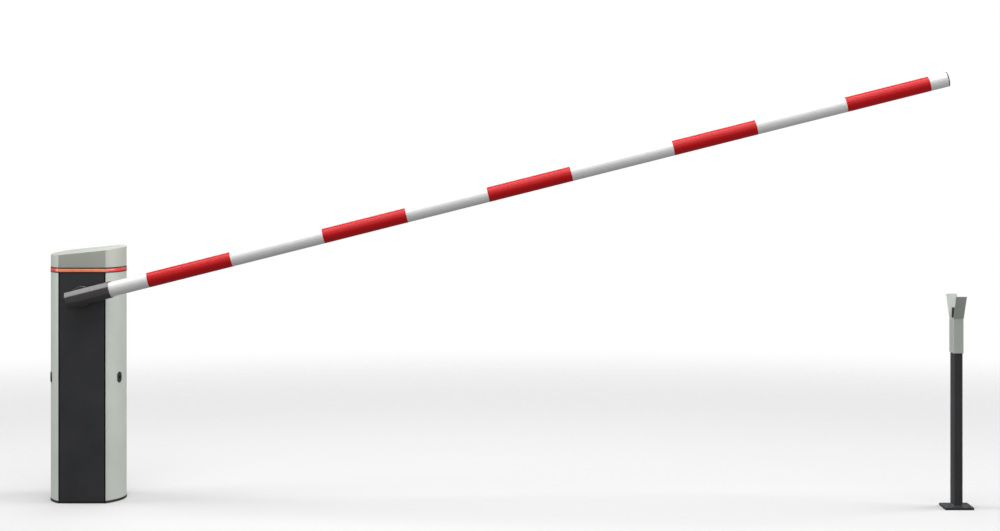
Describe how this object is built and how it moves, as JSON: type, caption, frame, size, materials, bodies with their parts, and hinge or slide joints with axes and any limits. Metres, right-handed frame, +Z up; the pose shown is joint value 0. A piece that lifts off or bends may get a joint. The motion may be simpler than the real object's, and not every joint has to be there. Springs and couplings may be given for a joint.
{
  "type": "parking barrier gate",
  "caption": "Parking barrier gate: a slim bow-sided drive cabinet with a light band, a striped round boom lifted a little over its separate fork-topped rest post.",
  "frame": {"origin": "on the ground, at the centre of the cable entry under the cabinet", "axes": "+X runs along the closed boom to the rest post, +Y points to the back of the cabinet, +Z is up"},
  "size_m": [3.216, 0.3785, 1.5032],
  "materials": {
    "dark_coat": "fine-textured charcoal powder coat",
    "light_coat": "fine-textured light grey powder coat",
    "cap_plastic": "light grey moulded plastic",
    "boom_coat": "aluminium tube with a glossy white coat",
    "red_film": "red reflective film",
    "ring_lens": "translucent orange-red lens",
    "lamp_strip": "white lamp strip",
    "black_plastic": "black moulded plastic",
    "black_rubber": "black rubber",
    "zinc_steel": "zinc-plated steel sheet",
    "bright_steel": "turned steel",
    "spring_steel": "oiled spring steel",
    "cast_alloy": "cast aluminium alloy",
    "motor_coat": "blue-grey motor enamel",
    "board_green": "green circuit board",
    "grey_plastic": "grey terminal plastic",
    "white_plastic": "light grey switchgear plastic",
    "winding": "varnished transformer core"
  },
  "bodies": {
    "cabinet": {"base_plate": "dark_coat", "chassis_frame": "zinc_steel", "top_plate": "dark_coat", "front_bearing_plate": "zinc_steel", "rear_bearing_plate": "zinc_steel", "drive_plate": "zinc_steel", "front_panel": "dark_coat", "rear_cover": "dark_coat", "door_seals": "black_rubber", "hinge_pins": "bright_steel", "light_ring": "ring_lens", "led_strip": "lamp_strip", "cap_seal": "black_rubber", "top_cap": "cap_plastic", "cap_screws": "bright_steel", "shaft_seal_collar": "black_plastic", "front_bearing": "bright_steel", "rear_bearing": "bright_steel", "gearbox_housing": "cast_alloy", "motor_body": "motor_coat", "motor_end_cap": "black_plastic", "balance_spring": "spring_steel", "stop_buffers": "black_rubber", "position_sensors": "black_plastic", "board_tray": "zinc_steel", "control_board": "board_green", "board_components": "black_plastic", "transformer": "winding", "service_bracket": "zinc_steel", "terminal_blocks": "grey_plastic", "breaker": "white_plastic", "cable_glands": "black_plastic", "post_foot": "dark_coat", "post_tube": "dark_coat"},
    "boom": {"main_shaft": "bright_steel", "shaft_lever": "bright_steel", "lever_pin": "bright_steel", "spring_collar": "bright_steel", "sensor_flag": "bright_steel", "boom_hub": "dark_coat", "boom_back_plate": "dark_coat", "boom_clamp": "dark_coat", "clamp_screws": "bright_steel", "boom_tube": "boom_coat", "boom_bands": "red_film", "boom_end_cap": "black_plastic"},
    "connecting_rod": {"turnbuckle_body": "zinc_steel", "rod_ends": "bright_steel"},
    "crank": {"output_shaft": "bright_steel", "crank_arm": "bright_steel"},
    "door_right": {"side_door_right": "light_coat", "lock_right": "black_plastic"},
    "door_left": {"side_door_left": "light_coat", "lock_left": "black_plastic"},
    "lock_core_right": {"lock_core_right": "bright_steel"},
    "lock_core_left": {"lock_core_left": "bright_steel"},
    "breaker_toggle": {"breaker_toggle": "black_plastic"},
    "fork": {"fork": "light_coat", "rest_pad": "black_rubber", "sleeve_screws": "bright_steel"}
  },
  "joints": [
    {"name": "boom_pivot", "type": "hinge", "parent": "cabinet", "child": "boom", "pos_m": [0, -0.19, 0.723], "axis": [0, -1, 0], "range_deg": [-14.25, 75.75], "stiffness_Nm_per_rad": 22, "springref_deg": 96.83, "deforming": ["balance_spring"]},
    {"name": "crank_turn", "type": "hinge", "parent": "cabinet", "child": "crank", "pos_m": [0, -0.054, 0.393], "axis": [0, -1, 0], "range_deg": [-14.25, 75.75]},
    {"name": "rod_swing", "type": "hinge", "parent": "boom", "child": "connecting_rod", "pos_m": [0.05149, -0.046, 0.6922], "axis": [0, -1, 0], "range_deg": [-75.75, 14.25]},
    {"name": "door_right_hinge", "type": "hinge", "parent": "cabinet", "child": "door_right", "pos_m": [0.0933, 0.093, 0.406], "axis": [0, 0, 1], "range_deg": [0, 100]},
    {"name": "door_left_hinge", "type": "hinge", "parent": "cabinet", "child": "door_left", "pos_m": [-0.0933, 0.093, 0.406], "axis": [0, 0, 1], "range_deg": [-100, 0]},
    {"name": "lock_right_turn", "type": "hinge", "parent": "door_right", "child": "lock_core_right", "pos_m": [0.11965, -0.0584, 0.435], "axis": [0.9272, -0.3746, 0], "range_deg": [-90, 0]},
    {"name": "lock_left_turn", "type": "hinge", "parent": "door_left", "child": "lock_core_left", "pos_m": [-0.11965, -0.0584, 0.435], "axis": [-0.9272, -0.3746, 0], "range_deg": [0, 90]},
    {"name": "fork_height", "type": "slide", "parent": "cabinet", "child": "fork", "axis": [0, 0, 1], "range_m": [-0.06, 0]},
    {"name": "breaker_switch", "type": "hinge", "parent": "cabinet", "child": "breaker_toggle", "pos_m": [0.014, -0.0075, 0.1095], "axis": [1, 0, 0], "range_deg": [0, 76]}
  ],
  "couplings": [
    {"joint": "crank_turn", "follows": "boom_pivot", "ratio": 1},
    {"joint": "rod_swing", "follows": "boom_pivot", "ratio": -1}
  ]
}
